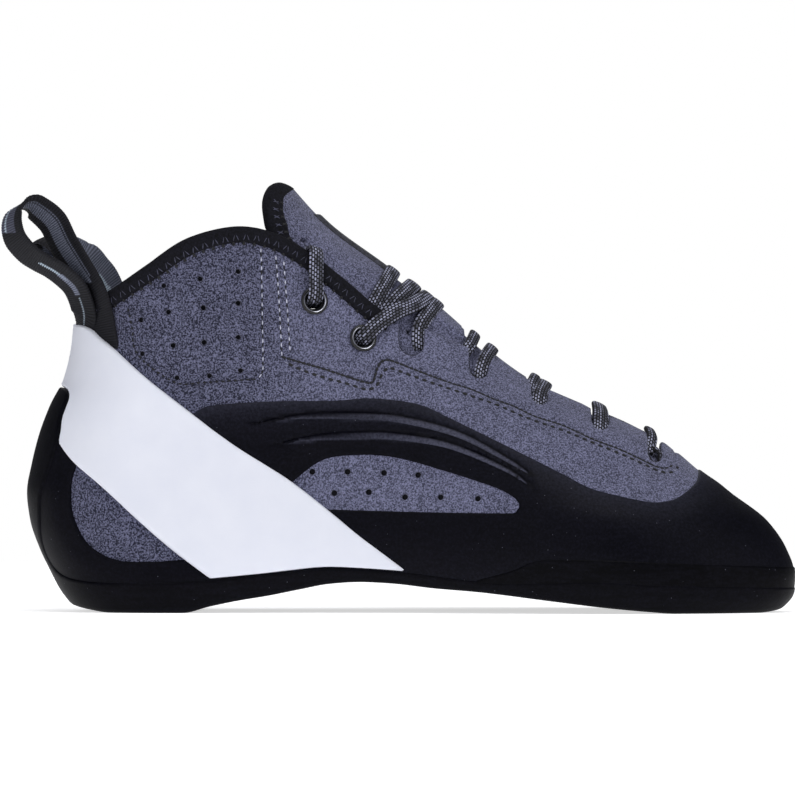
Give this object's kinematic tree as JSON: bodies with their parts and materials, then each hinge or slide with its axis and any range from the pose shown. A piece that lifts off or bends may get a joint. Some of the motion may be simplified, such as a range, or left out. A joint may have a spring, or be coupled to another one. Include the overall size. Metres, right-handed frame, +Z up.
{
  "type": "climbing shoe",
  "caption": "Left climbing shoe: lasted suede upper with laced throat, rubber sole, rand and white heel band, knit collar and webbing pull loops",
  "frame": {"origin": "on the floor under the middle of the heel, on the outsole's flat spot", "axes": "+X to the toe, +Y to the outer side of the foot, +Z up"},
  "size_m": [0.2752, 0.0975, 0.148],
  "materials": {
    "suede": "slate suede with a short nap",
    "rubber": "black moulded rubber, satin",
    "white_rubber": "white moulded rubber, smooth",
    "knit": "black knit tape with zigzag stitching",
    "board": "grey lasting board",
    "eyelet": "black metal with a bright inner ring",
    "lace": "flat woven lace, black with grey flecks",
    "webbing": "ribbed black webbing with slate stripes",
    "badge": "plain black badge"
  },
  "bodies": {
    "root": {"outsole": "rubber", "upper": "suede", "insole": "board", "toe_rand": "rubber", "rand": "rubber", "tension_band": "white_rubber", "heel_rand": "rubber", "collar_binding": "knit", "tongue": "suede", "tongue_binding": "knit", "tongue_badge": "badge", "eyelet_1_near": "eyelet", "eyelet_1_far": "eyelet", "eyelet_2_near": "eyelet", "eyelet_2_far": "eyelet", "lace": "lace", "lace_end_near": "lace", "lace_end_far": "lace", "pull_loop_near": "webbing", "pull_loop_far": "webbing"}
  },
  "joints": []
}
